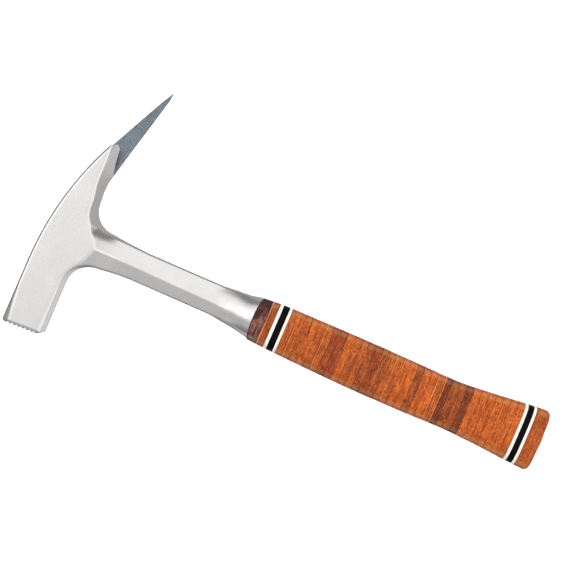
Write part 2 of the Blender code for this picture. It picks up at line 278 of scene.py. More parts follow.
def arc(centre, radius, start, end, steps):
    """Points on a circle from one angle to another, in degrees."""
    angles = [math.radians(start + (end - start) * k / steps) for k in range(steps + 1)]
    return [(centre[0] + radius * math.cos(a), centre[1] + radius * math.sin(a)) for a in angles]


def crease_line(steps):
    """Squarish bend of the cheek's edge from the neck up into the claw."""
    points = []
    for k in range(steps + 1):
        angle = math.pi / 2 * k / steps
        reach_x = CREASE_SIZE[0] * math.sin(angle) ** (2.0 / CREASE_SQUARENESS)
        reach_y = CREASE_SIZE[1] * math.cos(angle) ** (2.0 / CREASE_SQUARENESS)
        points.append((CREASE_CENTRE[0] - reach_x, CREASE_CENTRE[1] - reach_y))
    return points


def sweep_arc(radius):
    """Outer curve of the head, from the claw down to the poll."""
    top = math.degrees(math.asin((SWEEP_TOP_Y - SWEEP_CENTRE[1]) / radius))
    return arc(SWEEP_CENTRE, radius, 180.0 - top, 180.0, SWEEP_STEPS)


def head_outlines():
    """Outlines of the blank at the front cheek, the middle plane and the rear cheek."""
    face_y = FACE_Y - BELOW_FACE
    middle = [(POLL_FRONT_X, face_y), (POLL_BACK_X, face_y)]
    cheek = [(POLL_FRONT_X + POLL_DRAFT_FRONT, face_y), (POLL_BACK_X - POLL_DRAFT_BACK, face_y)]
    middle += arc(LOWER_FILLET_CENTRE, LOWER_FILLET_RADIUS, 180.0, 90.0, ARC_STEPS)
    cheek += arc(LOWER_FILLET_CENTRE, LOWER_FILLET_RADIUS + FILLET_DRAFT, 180.0, 90.0, ARC_STEPS)
    middle += [(50.0, -7.9), (56.0, -7.45), (62.0, -7.3), (105.0, -7.6), (NECK_END_X, -7.9)]
    cheek += [(50.0, -6.7), (56.0, -6.15), (62.0, -5.95), (105.0, -6.2), (NECK_END_X, -6.5)]
    middle += [(NECK_END_X, 11.1), (65.0, 11.3), (50.0, 12.3)]
    cheek += [(NECK_END_X, 9.7), (65.0, 9.9), (50.0, 10.3)]
    middle += arc(UPPER_FILLET_CENTRE, UPPER_FILLET_RADIUS, 270.0, 180.0, ARC_STEPS)
    cheek += crease_line(ARC_STEPS)
    front = list(cheek)
    rear = list(cheek)
    middle += [(26.6, 34.0), (26.8, 39.8), (31.9, 62.0), (34.0, 71.0), (40.6, 99.5), (40.9, TIP_Y)]
    front += [(22.4, 36.0), (22.0, 41.0), (21.7, 61.6), (22.2, 63.9), (37.5, 98.0), (40.2, 103.8)]
    rear += [(22.6, 34.5), (24.6, 40.6), (30.3, 62.0), (32.6, 71.0), (39.6, 99.0), (40.4, 103.8)]
    middle += [(39.5, 102.9), (35.2, 95.0)]
    front += [(39.7, 102.4), (36.0, 95.0)]
    rear += [(39.7, 102.4), (36.0, 95.0)]
    middle += sweep_arc(SWEEP_RADIUS)
    front += sweep_arc(SWEEP_RADIUS - SWEEP_DRAFT)
    rear += sweep_arc(SWEEP_RADIUS - SWEEP_DRAFT)
    return front, middle, rear


def outline_distance(outline, x, y):
    """Signed distance to a closed outline on a plan grid, negative inside."""
    best = np.full(x.shape, 1e9)
    inside = np.zeros(x.shape, bool)
    for (ax, ay), (bx, by) in zip(outline, outline[1:] + outline[:1]):
        ex, ey = bx - ax, by - ay
        t = np.clip(((x - ax) * ex + (y - ay) * ey) / max(ex * ex + ey * ey, 1e-12), 0.0, 1.0)
        best = np.minimum(best, (x - ax - t * ex) ** 2 + (y - ay - t * ey) ** 2)
        if ay != by:
            crosses = (ay > y) != (by > y)
            inside ^= crosses & (x < ax + (y - ay) * ex / ey)
    return np.where(inside, -1.0, 1.0) * np.sqrt(best)


def neck_roof(x, y):
    """Height of the neck's facets above the middle plane."""
    run = np.clip(x, RIDGE_START_X, RIDGE_LEVEL_X) - RIDGE_START_X
    length = RIDGE_LEVEL_X - RIDGE_START_X
    ridge = CHEEK_HALF - RIDGE_RISE * run + RIDGE_RISE * run * run / (2.0 * length)
    ridge = ridge + RIDGE_RISE * np.maximum(RIDGE_START_X - x, 0.0)
    across = y - RIDGE_START_Y - RIDGE_SLOPE_Y * (x - RIDGE_START_X)
    roof = soft_min(ridge - UPPER_FACET_SLOPE * across, ridge + LOWER_FACET_SLOPE * across, RIDGE_EDGE)
    shoulder = smooth_step(x, *SHOULDER_RISE) * (1.0 - smooth_step(x, *SHOULDER_FADE))
    roof = roof - shoulder * SHOULDER_DROP * np.clip(y - SHOULDER_START_Y, 0.0, SHOULDER_REACH) ** 2
    return roof + FACET_LIFT * np.maximum(np.abs(y) - FACET_REACH, 0.0) ** 2


def groove(offset):
    """Depth share of the nearest V groove of the striking face, 0 to 1."""
    reach = (TOOTH_COUNT - 1) / 2
    nearest = np.clip(np.round(offset / TOOTH_PITCH), -reach, reach) * TOOTH_PITCH
    return np.clip(GROOVE_FILL - np.abs(offset - nearest) / GROOVE_HALF, 0.0, 1.0)


def seat_bow(y):
    """How far the seat between bolster and first washer bows towards the head."""
    return SEAT_BOW * (1.0 - ((y - SEAT_CENTRE_Y) / SEAT_HALF) ** 2)


def oval_distance(x, y, z):
    """Approximate distance to the flare between neck and grip."""
    stations = np.array(BOLSTER_SIZES)
    upper, lower, half = (np.interp(x, stations[:, 0], stations[:, k]) for k in (1, 2, 3))
    centre, width = (upper + lower) / 2, (upper - lower) / 2
    power = BOLSTER_SQUARENESS
    reach = (np.abs((y - centre) / width) ** power + np.abs(z / half) ** power) ** (1.0 / power)
    return (reach - 1.0) * np.minimum(width, half)


def block_distance(x, y, z, low, high):
    """Distance-like field of an upright box."""
    gaps = [np.maximum(a - p, p - b) for p, a, b in zip((x, y, z), low, high)]
    return np.maximum(np.maximum(gaps[0], gaps[1]), gaps[2])


def notch_walls(y):
    """Heights of the prong's steep and shallow inner faces."""
    steep = NOTCH_Z + NOTCH_STEEP * (y - NOTCH_Y)
    shallow = NOTCH_KNEE[1] + PRONG_WALL_SLOPE * (y - NOTCH_KNEE[0])
    return steep, shallow


def cut_claw(body, x, y, z):
    """Opens the V of the claw and frees the spike behind the prong."""
    spike_top = NOTCH_Z + SPIKE_FRONT_SLOPE * (y - NOTCH_Y)
    steep, shallow = notch_walls(y)
    wall = soft_min(steep, shallow, NOTCH_BLEND)
    end = PRONG_END_Y + PRONG_END_SLOPE * (x - PRONG_END_X) - y
    prong = soft_min((z - wall) * SIDE_SLANT, end * END_SLANT, PRONG_END_EDGE)
    opening = soft_max(spike_top - z, prong, SPIKE_EDGE)
    body = soft_max(body, -opening, CLAW_EDGE)
    rear = SPIKE_REAR_START[1] + SPIKE_REAR_SLOPE * (y - SPIKE_REAR_START[0])
    return soft_max(body, rear - z, SPIKE_BACK_EDGE)


def chamfer_field(inward, below, width, fall):
    """Distance beyond a shallow chamfer of the given width along a cheek's edge."""
    return (width * fall - inward * fall - below) / np.sqrt(1.0 + fall * fall)


def cut_cheek_edges(body, cheek, x, y, z):
    """Narrow chamfer along the handle side of each cheek, wide ones on the poll."""
    below = CHEEK_HALF - np.abs(z)
    start, length, width = BACK_CHAMFER
    back_width = np.maximum(EDGE_CHAMFER, width * np.clip((start - y) / length, 0.0, CHAMFER_LIMIT))
    start, length, width = FRONT_CHAMFER
    front_width = width * np.clip((start - y) / length, 0.0, CHAMFER_LIMIT)
    radius = SWEEP_RADIUS - SWEEP_DRAFT
    rise = np.clip(y - SWEEP_CENTRE[1], 0.0, 100.0)
    outer_x = SWEEP_CENTRE[0] - np.sqrt(radius * radius - rise * rise)
    # The cheek's rough centre line parts the handle side from the outer side
    handle_side = x > outer_x * 0.5 + 11.5
    width = np.where(handle_side, back_width, front_width)
    chamfer = chamfer_field(-cheek, below, width, np.where(handle_side, BACK_FALL, FRONT_FALL))
    sweep = np.where(handle_side, -9.0, chamfer_field(-cheek, below, SWEEP_CHAMFER, 1.0))
    body = soft_max(body, sweep, FACET_EDGE)
    worked = handle_side | (front_width > 0.0)
    return np.where(worked, soft_max(body, chamfer, FACET_EDGE), body)


def cut_face(body, x, y, z):
    """Rim bevel and milled teeth of the striking face."""
    face_y = FACE_Y + FACE_TILT * (x - POLL_FRONT_X)
    rise = y - face_y
    near_face = y < POLL_TOP_Y
    for inward in (x - POLL_FRONT_X, POLL_BACK_X - x, CHEEK_HALF - np.abs(z)):
        rim = (RIM_WIDTH - inward) * RIM_DEPTH / RIM_WIDTH - rise
        body = np.where(near_face, soft_max(body, rim * RIM_SLANT, FACET_EDGE), body)
    middle_x = (POLL_FRONT_X + POLL_BACK_X) / 2
    teeth = TOOTH_DEPTH * np.maximum(groove(x - middle_x), groove(z))
    return np.where(near_face, np.maximum(body, (teeth - rise) * TOOTH_SLANT), body)


def forging_field(xs, ys, zs):
    """Signed field of the whole forging on a grid, negative inside the steel."""
    plan_x, plan_y = np.meshgrid(xs, ys, indexing="ij")
    front, middle, rear = (outline_distance(o, plan_x, plan_y)[:, :, None] for o in head_outlines())
    x, y, z = xs[:, None, None], ys[None, :, None], zs[None, None, :]
    level = np.abs(z)
    cheek = np.where(z > 0.0, front, rear)
    side = middle + (cheek - middle) * (level / CHEEK_HALF)
    body = soft_max(side * SIDE_SLANT, level - CHEEK_HALF, CHEEK_EDGE)
    body = cut_cheek_edges(body, cheek, x, y, z)
    body = soft_max(body, (level - neck_roof(x, y)) * ROOF_SLANT, FACET_EDGE)
    body = cut_claw(body, x, y, z)
    body = cut_face(body, x, y, z)
    flare = oval_distance(x, y, z)
    blend = 0.05 + BOLSTER_BLEND * smooth_step(x, *BOLSTER_BLEND_RISE)
    body = np.where(x > BOLSTER_FROM_X, soft_min(body, flare, blend), body)
    body = soft_max(body, x - BOLSTER_X + seat_bow(y), SEAT_EDGE)
    half_y, half_z = TANG_WIDTH / 2, TANG_THICKNESS / 2
    low = (TANG_START_X, TANG_Y - half_y, -half_z)
    high = (BUTT_X - TANG_RECESS, TANG_Y + half_y, half_z)
    body = np.minimum(body, block_distance(x, y, z, low, high))
    low = (PEEN_X, low[1] - PEEN_GROWTH, low[2] - PEEN_GROWTH)
    high = (BUTT_X - PEEN_RECESS, high[1] + PEEN_GROWTH, high[2] + PEEN_GROWTH)
    peen = block_distance(x, y, z, low, high)
    return np.minimum(body, peen)


def surface_net(field, xs, ys, zs):
    """Closed quad mesh of a field's zero level: one point per crossed cell."""
    inside = field < 0.0
    cells = tuple(n - 1 for n in field.shape)
    corners = np.zeros(cells, np.uint8)
    for i in (0, 1):
        for j in (0, 1):
            for k in (0, 1):
                corners += inside[i:i + cells[0], j:j + cells[1], k:k + cells[2]]
    active = (corners > 0) & (corners < 8)
    index = np.full(cells, -1, np.int64)
    count = int(active.sum())
    index[active] = np.arange(count)
    total = np.zeros((count, 3))
    weight = np.zeros(count)
    lines = (xs, ys, zs)
    quads = []
    for axis in range(3):
        near = [slice(None)] * 3
        far = [slice(None)] * 3
        near[axis], far[axis] = slice(0, -1), slice(1, None)
        near, far = tuple(near), tuple(far)
        crossed = np.nonzero(inside[near] != inside[far])
        start = field[near][crossed].astype(float)
        end = field[far][crossed].astype(float)
        share = start / (start - end)
        where = [lines[a][crossed[a]] for a in range(3)]
        where[axis] = where[axis] + share * (lines[axis][crossed[axis] + 1] - where[axis])
        one, two = (axis + 1) % 3, (axis + 2) % 3
        ring = []
        for step_one, step_two in ((1, 1), (0, 1), (0, 0), (1, 0)):
            spot = list(crossed)
            spot[one] = crossed[one] - step_one
            spot[two] = crossed[two] - step_two
            cell = index[tuple(spot)]
            ring.append(cell)
            for a in range(3):
                total[:, a] += np.bincount(cell, where[a], count)
            weight += np.bincount(cell, minlength=count)
        quad = np.stack(ring, 1)
        flip = ~inside[near][crossed]
        quad[flip] = quad[flip][:, ::-1]
        quads.append(quad)
    return total / weight[:, None], np.concatenate(quads)


def grid_lines(stops):
    """Grid lines with a spacing of their own between each pair of stops."""
    lines = []
    for (start, step), (end, _) in zip(stops, stops[1:]):
        lines.append(np.arange(start, end - step * 0.5, step))
    lines.append(np.array([stops[-1][0]]))
    return np.concatenate(lines)


def make_forging(steel, shaded_steel):
    """The forging with painted shade on the spike and the milled teeth, as darker steel."""
    fine = GRID_FINE
    tip = fine * TIP_SHARE
    xs = grid_lines((
        (-1.0, fine), (17.0, tip), (29.0, fine), (48.0, 0.8), (104.0, 0.6),
        (134.0, 0.25), (138.0, 6.0), (312.0, 1.0), (316.9, 0.2), (319.2, 1.0),
    ))
    ys = grid_lines(((-60.0, 0.2), (-56.0, fine), (54.0, tip), (67.0, fine), (106.3, 1.0)))
    zs = grid_lines(((-14.03, fine), (5.0, tip), (14.1, 1.0)))
    field = forging_field(xs, ys, zs)
    points, quads = surface_net(field, xs, ys, zs)
    # The faces below the prong's inner faces, and those between the teeth's tips, get the darker steel:
    # painted shade behind the prong, and in the teeth painted shade together with oxide in the grooves
    x, y, z = points[quads].mean(1).T
    spike = (y > NOTCH_Y) & (z < np.minimum(*notch_walls(y)) - 0.4)
    teeth = y < FACE_Y + FACE_TILT * (x - POLL_FRONT_X) + TOOTH_DEPTH
    dark = (spike | teeth).astype(int)
    return mesh_object("forging_steel", points, quads.tolist(), (steel, shaded_steel), dark)


# ---------------------------------------------------------------- grip


def grip_size(x):
    """Upper edge, lower edge and half thickness of the grip, smoothly between stations."""
    stations = GRIP_STATIONS
    index = 0
    while index < len(stations) - 2 and x > stations[index + 1][0]:
        index += 1
    before = stations[max(index - 1, 0)]
    start, end = stations[index], stations[index + 1]
    after = stations[min(index + 2, len(stations) - 1)]
    span = end[0] - start[0]
    t = (x - start[0]) / span
    sizes = []
    for k in (1, 2, 3):
        slope_start = (end[k] - before[k]) / (end[0] - before[0]) * span
        slope_end = (after[k] - start[k]) / (after[0] - start[0]) * span
        sizes.append(
            start[k] * (2 * t ** 3 - 3 * t ** 2 + 1)
            + slope_start * (t ** 3 - 2 * t ** 2 + t)
            + end[k] * (3 * t ** 2 - 2 * t ** 3)
            + slope_end * (t ** 3 - t ** 2)
        )
    return sizes


def oval_ring(x, inset=0.0):
    """One cross-section of the grip, pulled in by the inset."""
    upper, lower, half = grip_size(x)
    centre = (upper + lower) / 2
    width = (upper - lower) / 2 - inset
    half = half - inset
    ring = []
    for k in range(RING_POINTS):
        angle = 2.0 * math.pi * k / RING_POINTS
        c, s = math.cos(angle), math.sin(angle)
        y = centre + width * math.copysign(abs(c) ** (2.0 / GRIP_SQUARENESS), c)
        z = half * math.copysign(abs(s) ** (2.0 / GRIP_SQUARENESS), s)
        ring.append((x, y, z))
    return ring


def circle_ring(x, radius):
    """A circle about the tang with the grip's number of points."""
    ring = []
    for k in range(RING_POINTS):
        angle = 2.0 * math.pi * k / RING_POINTS
        ring.append((x, TANG_Y + radius * math.cos(angle), radius * math.sin(angle)))
    return ring


def slot_ring(x):
    """The tang slot as a ring with the grip's number of points."""
    half_y = TANG_WIDTH / 2 + SLOT_GAP
    half_z = TANG_THICKNESS / 2 + SLOT_GAP
    ring = []
    for k in range(RING_POINTS):
        angle = 2.0 * math.pi * k / RING_POINTS
        c, s = math.cos(angle), math.sin(angle)
        reach = 1.0 / max(abs(c) / half_y, abs(s) / half_z)
        ring.append((x, TANG_Y + reach * c, reach * s))
    return ring


def ring_solid(name, rings, material):
    """A closed ring-shaped solid through rings that lead round its wall and back."""
    points = [p for ring in rings for p in ring]
    faces = []
    for step in range(len(rings)):
        here = step * RING_POINTS
        there = ((step + 1) % len(rings)) * RING_POINTS
        for k in range(RING_POINTS):
            following = (k + 1) % RING_POINTS
            faces.append((here + k, here + following, there + following, there + k))
    return mesh_object(name, points, faces, (material,))


def make_ring(name, start, end, material, edge, proud=0.0, bowed=False, pale=None):
    """One washer or spacer ring with softened edges, a bowed front face or a pale front edge."""
    start += PIECE_GAP / 2
    end -= PIECE_GAP / 2
    rings = [oval_ring(start + edge * along, edge * inset - proud) for along, inset in EDGE_STEPS]
    rings.append(oval_ring(start + PALE_WIDTH, -proud))
    for along, inset in reversed(EDGE_STEPS):
        rings.append(oval_ring(end - edge * along, edge * inset - proud))
    rings += [slot_ring(end), slot_ring(start)]
    if bowed:
        front_rings = (0, 1, 2, 3, len(rings) - 1)
        for index in front_rings:
            rings[index] = [(x - seat_bow(y), y, z) for x, y, z in rings[index]]
    made = ring_solid(name, rings, material)
    if pale:
        made.data.materials.append(pale)
        for index in range(len(EDGE_STEPS) * RING_POINTS):
            made.data.polygons[index].material_index = 1
    return made


def make_end_leather(start, material):
    """Rounded end piece with the seat of the steel washer."""
    start += PIECE_GAP / 2
    seat_x = PEEN_X - 2 * SLOT_GAP - END_WASHER_THICKNESS
    seat_radius = END_WASHER_RADIUS + SLOT_GAP
    rings = [oval_ring(start, CAP_EDGE), oval_ring(start + CAP_EDGE), oval_ring(start + END_ROUNDING)]
    for k in range(END_ROUNDING_STEPS + 1):
        angle = math.pi / 2 * k / END_ROUNDING_STEPS
        x = BUTT_X - END_ROUNDING * (1.0 - math.sin(angle)) - BUTT_CROWN
        rings.append(oval_ring(x, END_ROUNDING * (1.0 - math.cos(angle))))
    rings.append(oval_ring(BUTT_X - BUTT_CROWN / 3, END_ROUNDING + BUTT_BORDER))
    rings.append(circle_ring(BUTT_X, seat_radius + SEAT_LIP))
    rings.append(circle_ring(BUTT_X - SEAT_LIP, seat_radius))
    rings.append(circle_ring(seat_x, seat_radius))
    rings += [slot_ring(seat_x), slot_ring(start)]
    return ring_solid("end_cap_leather", rings, material)


def make_end_washer(material):
    """Steel washer under the peened end of the tang."""
    end = PEEN_X - SLOT_GAP
    start = end - END_WASHER_THICKNESS
    rings = [circle_ring(start, END_WASHER_RADIUS)]
    rings.append(circle_ring(end - WASHER_CHAMFER, END_WASHER_RADIUS))
    rings.append(circle_ring(end, END_WASHER_RADIUS - WASHER_CHAMFER))
    rings += [slot_ring(end), slot_ring(start)]
    return ring_solid("end_washer_steel", rings, material)


# ---------------------------------------------------------------- materials


def new_material(name):
    """A node material with its node tree and its shader."""
    material = bpy.data.materials.new(name)
    material.use_nodes = True
    tree = material.node_tree
    return material, tree, tree.nodes["Principled BSDF"]


def add(tree, kind, **values):
    """A node with some of its inputs or settings filled in."""
    node = tree.nodes.new(kind)
    for key, value in values.items():
        if hasattr(node, key):
            setattr(node, key, value)
        else:
            node.inputs[key.replace("_", " ")].default_value = value
    return node


def streak_noise(tree, stretch, scale, detail=4.0, roughness=0.6):
    """Noise in object space, stretched along chosen axes."""
    coords = add(tree, "ShaderNodeTexCoord")
    mapping = add(tree, "ShaderNodeMapping", Scale=stretch)
    noise = add(tree, "ShaderNodeTexNoise", Scale=scale, Detail=detail, Roughness=roughness)
    tree.links.new(coords.outputs["Object"], mapping.inputs["Vector"])
    tree.links.new(mapping.outputs["Vector"], noise.inputs["Vector"])
    return noise.outputs["Fac"]


def ranged(tree, value, low, high, out_low, out_high):
    """Maps a range of a value onto another range, clamped."""
    node = add(tree, "ShaderNodeMapRange")
    for key, number in zip(("From Min", "From Max", "To Min", "To Max"), (low, high, out_low, out_high)):
        node.inputs[key].default_value = number
    tree.links.new(value, node.inputs["Value"])
    return node.outputs["Result"]


def math_node(tree, operation, first, second=None):
    """Result of one operation on one or two sockets."""
    node = tree.nodes.new("ShaderNodeMath")
    node.operation = operation
    tree.links.new(first, node.inputs[0])
    if second:
        tree.links.new(second, node.inputs[1])
    return node.outputs["Value"]


def mixed(tree, share, first, second):
    """Colour mix by a share; each colour is a tuple or a socket."""
    node = tree.nodes.new("ShaderNodeMix")
    node.data_type = "RGBA"
    tree.links.new(share, node.inputs["Factor"])
    for position, colour in ((6, first), (7, second)):
        if isinstance(colour, tuple):
            node.inputs[position].default_value = (*colour, 1.0)
        else:
            tree.links.new(colour, node.inputs[position])
    return node.outputs[2]


def bumped(tree, shader, height, strength, distance):
    """Adds a bump to the shader."""
    node = add(tree, "ShaderNodeBump", Strength=strength, Distance=distance)
    tree.links.new(height, node.inputs["Height"])
    tree.links.new(node.outputs["Normal"], shader.inputs["Normal"])


# Painted sheen along the grip's rounded corners: where it starts and ends, how strong, and its colour
RIM_SHEEN_FROM = 0.40
RIM_SHEEN_TO = 0.50
RIM_SHEEN_SHARE = 0.6
RIM_SHEEN_KEEP = 0.75
RIM_SHEEN_LIFT = (0.06, 0.095, 0.055)

# Band across the first washer in world metres over which its painted shade sets in
PAINTED_SHADE_BAND = (-0.022, -0.015)
PAINTED_SHADE_RAGGED = 0.004


def steel_material(name, light, dark, low_rough, high_rough, mottle):
    """Ground steel: fine grain, soft stains and, on the dark part, a mottled oxide scale."""
    material, tree, shader = new_material(name)
    shader.inputs["Metallic"].default_value = 1.0
    grain = streak_noise(tree, (1.0, 0.25, 1.0), 2600.0, 3.0)
    cloud = streak_noise(tree, (1.0, 1.0, 1.0), 55.0, 3.0)
    scale = streak_noise(tree, (1.0, 1.0, 1.0), 1500.0, 4.0, 0.7)
    colour = mixed(tree, ranged(tree, cloud, 0.3, 0.7, 0.0, 1.0), dark, light)
    # Deep and pale flecks of the oxide scale
    deep = tuple(c * 0.6 for c in dark)
    pale = tuple(min(1.0, c * 1.5) for c in light)
    colour = mixed(tree, ranged(tree, scale, 0.50, 0.36, 0.0, mottle), colour, deep)
    colour = mixed(tree, ranged(tree, scale, 0.52, 0.66, 0.0, mottle), colour, pale)
    tree.links.new(colour, shader.inputs["Base Color"])
    rough = ranged(tree, grain, 0.3, 0.7, low_rough, high_rough)
    tree.links.new(rough, shader.inputs["Roughness"])
    bumped(tree, shader, grain, 0.04, 0.00004)
    return material


def rim_sheen_share(tree):
    """How far a face looks along the grip's rounded corners, for paler edges that paint a sheen."""
    geometry = add(tree, "ShaderNodeNewGeometry")
    split = add(tree, "ShaderNodeSeparateXYZ")
    tree.links.new(geometry.outputs["Normal"], split.inputs["Vector"])
    both = math_node(tree, "MULTIPLY", split.outputs["Y"], split.outputs["Z"])
    return ranged(tree, math_node(tree, "ABSOLUTE", both), RIM_SHEEN_FROM, RIM_SHEEN_TO, 0.0, RIM_SHEEN_SHARE)


def add_painted_shade(tree, colour, painted_shade, share):
    """Painted shade: darkens leather towards the spike side of the grip, with a ragged border."""
    coords = add(tree, "ShaderNodeTexCoord")
    split = add(tree, "ShaderNodeSeparateXYZ")
    tree.links.new(coords.outputs["Object"], split.inputs["Vector"])
    cloud = streak_noise(tree, (1.0, 0.6, 0.6), 260.0, 3.0)
    ragged = ranged(tree, cloud, 0.35, 0.65, -PAINTED_SHADE_RAGGED, PAINTED_SHADE_RAGGED)
    height = math_node(tree, "ADD", split.outputs["Y"], ragged)
    return mixed(tree, ranged(tree, height, *PAINTED_SHADE_BAND, 0.0, share), colour, painted_shade)


def leather_material(name, light, dark, patch_from=0.5, painted_shade=0.0):
    """Lacquered edge of a leather washer: fibres across the grip, pores and darker patches."""
    material, tree, shader = new_material(name)
    fibre = streak_noise(tree, (1.0, 0.10, 0.10), 900.0, 4.0, 0.7)
    fine = streak_noise(tree, (1.0, 0.5, 0.5), 1150.0, 4.0, 0.7)
    speck = streak_noise(tree, (1.0, 0.8, 0.8), 700.0, 5.0, 0.75)
    cloud = streak_noise(tree, (1.0, 0.6, 0.6), 190.0, 3.0)
    pale = tuple(min(1.0, c * 1.6 + 0.03) for c in light)
    deep = tuple(c * 0.3 for c in dark)
    colour = mixed(tree, ranged(tree, fibre, 0.40, 0.58, 0.0, 1.0), dark, light)
    colour = mixed(tree, ranged(tree, fine, 0.54, 0.68, 0.0, 0.7), colour, pale)
    colour = mixed(tree, ranged(tree, speck, 0.52, 0.64, 0.0, 0.85), colour, deep)
    colour = mixed(tree, ranged(tree, cloud, patch_from, patch_from + 0.16, 0.0, 0.75), colour, dark)
    # Paler corners painted in as the sheen of reflected light on the rims
    sheen_colour = tuple(RIM_SHEEN_KEEP * c + extra for c, extra in zip(light, RIM_SHEEN_LIFT))
    colour = mixed(tree, rim_sheen_share(tree), colour, sheen_colour)
    # Painted shade darkening the washer towards its spike side
    if painted_shade:
        colour = add_painted_shade(tree, colour, dark, painted_shade)
    tree.links.new(colour, shader.inputs["Base Color"])
    tree.links.new(ranged(tree, speck, 0.3, 0.7, 0.36, 0.6), shader.inputs["Roughness"])
    shader.inputs["Specular IOR Level"].default_value = 0.15
    shader.inputs["Coat Weight"].default_value = 0.08
    shader.inputs["Coat Roughness"].default_value = 0.3
    bumped(tree, shader, fine, 0.5, 0.00015)
    return material


def plastic_material(name, colour, shade, rough):
    """Spacer plastic sanded flush with the grip."""
    material, tree, shader = new_material(name)
    grain = streak_noise(tree, (1.0, 0.2, 0.2), 1800.0, 3.0)
    tint = mixed(tree, ranged(tree, grain, 0.3, 0.7, 0.0, 1.0), shade, colour)
    tree.links.new(tint, shader.inputs["Base Color"])
    tree.links.new(ranged(tree, grain, 0.3, 0.7, rough, rough + 0.15), shader.inputs["Roughness"])
    bumped(tree, shader, grain, 0.1, 0.00005)
    return material


# Leather tones: light fibre, dark fibre, where patches start and how strong the painted shade on the
# spike side is
TONES = {
    "orange": ((0.49, 0.108, 0.014), (0.27, 0.046, 0.007)),
    "tan": ((0.41, 0.092, 0.013), (0.22, 0.040, 0.007)),
    "brown": ((0.32, 0.070, 0.011), (0.155, 0.029, 0.006)),
    "red": ((0.30, 0.055, 0.011), (0.145, 0.024, 0.006)),
    "dark": ((0.20, 0.039, 0.009), (0.08, 0.014, 0.004)),
    "plum": ((0.23, 0.092, 0.070), (0.026, 0.006, 0.005), 0.44, 0.9),
    "pale": ((0.62, 0.200, 0.060), (0.45, 0.110, 0.030)),
}

# Tones of the stack's washers from the bolster to the butt
STACK_TONES = (
    "tan tan tan orange tan tan red red orange tan tan brown red brown tan tan orange "
    "orange brown orange orange tan dark brown brown dark "
    "orange orange orange orange orange orange orange"
).split()

# Washers of the stack whose front edge shows pale
PALE_EDGES = (1, 5, 15, 21, 22)


def set_piece(made, node):
    """The piece rides on the body, stands for its CAD node and takes that slot."""
    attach(made, "root")
    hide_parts(node)


def build_grip():
    """All washers and rings of the grip, from the bolster to the butt."""
    leathers = {tone: leather_material("leather_" + tone, *look) for tone, look in TONES.items()}
    white = plastic_material("ring_white", (0.74, 0.71, 0.66), (0.64, 0.60, 0.55), 0.3)
    black = plastic_material("ring_black", (0.0012, 0.0012, 0.0015), (0.003, 0.003, 0.003), 0.3)
    black.node_tree.nodes["Principled BSDF"].inputs["Specular IOR Level"].default_value = 0.06
    ring_looks = (("a_white", white), ("b_black", black), ("c_white", white))
    pale = leathers["pale"]
    start = BOLSTER_X + PIECE_GAP
    end = FIRST_WASHER_END
    piece = make_ring("first_leather_dark", start, end, leathers["plum"], FIRST_WASHER_EDGE, bowed=True)
    set_piece(piece, "first_washer")
    start, end = end, FRONT_LEATHER_END
    piece = make_ring("front_leather_tan", start, end, leathers["brown"], FRONT_LEATHER_EDGE, pale=pale)
    set_piece(piece, "front_leather")
    start = FRONT_LEATHER_END
    for (label, material), end in zip(ring_looks, FRONT_RING_ENDS):
        piece = make_ring("front_spacer_" + label, start, end, material, SPACER_EDGE)
        set_piece(piece, "front_ring_" + label)
        start = end
    pitch = (STACK_END - start) / STACK_COUNT
    chance = random.Random(PROUD_SEED)
    for k in range(STACK_COUNT):
        proud = chance.uniform(-PROUD_SPREAD, PROUD_SPREAD)
        name = "grip_leather_{:02d}".format(k + 1)
        low = start + k * pitch
        edge_look = pale if k in PALE_EDGES else None
        look = leathers[STACK_TONES[k]]
        piece = make_ring(name, low, low + pitch, look, STACK_EDGE, proud, pale=edge_look)
        set_piece(piece, "leather_{:02d}".format(k + 1))
    start = STACK_END
    for (label, material), end in zip(ring_looks, REAR_RING_ENDS):
        piece = make_ring("rear_spacer_" + label, start, end, material, SPACER_EDGE)
        set_piece(piece, "rear_ring_" + label)
        start = end
    set_piece(make_end_leather(start, leathers["tan"]), "end_leather")


# ---------------------------------------------------------------- studio

FLOOR_HALF = 3.0

# Grey of the surround: along Y from the face side to the spike side, and from the floor upwards
ACROSS_STOPS = (
    (0.0, 0.95), (0.16, 0.75), (0.26, 0.40), (0.335, 0.46),
    (0.42, 0.74), (0.48, 0.92), (0.56, 1.02), (1.0, 1.02),
)
HEIGHT_STOPS = (
    (0.0, 0.07), (0.02, 0.14), (0.05, 0.42), (0.35, 0.45), (0.48, 0.20),
    (0.70, 0.24), (0.85, 0.92), (0.93, 1.08), (0.985, 1.0),
)

# Name, place, target, size, power and whether the steel reflects it
LIGHTS = (
    ("key", (-0.3, 0.7, 1.3), (0.0, 0.0, 0.0), 0.9, 16.0, False),
    ("fill", (0.6, -0.6, 1.2), (0.05, 0.0, 0.0), 1.0, 9.0, False),
    ("shine", (-0.63, 0.0, 1.0), (-0.03, 0.0, 0.0), 0.3, 0.5, True),
)


def build_camera():
    """Camera square on to the side of the hammer."""
    data = bpy.data.cameras.new("camera")
    data.sensor_width = SENSOR
    data.lens = SENSOR * VIEW_DISTANCE / VIEW_WIDTH
    data.clip_start = 0.05
    data.clip_end = 20.0
    camera = bpy.data.objects.new("camera", data)
    bpy.context.scene.collection.objects.link(camera)
    back = Vector((0.0, 0.0, 1.0))
    up = Vector(VIEW_UP).normalized()
    right = up.cross(back)
    turn = Matrix((right, up, back)).transposed().to_4x4()
    spot = Vector(to_world([(VIEW_X, VIEW_Y, VIEW_DISTANCE)])[0])
    camera.matrix_world = Matrix.Translation(spot) @ turn
    bpy.context.scene.camera = camera


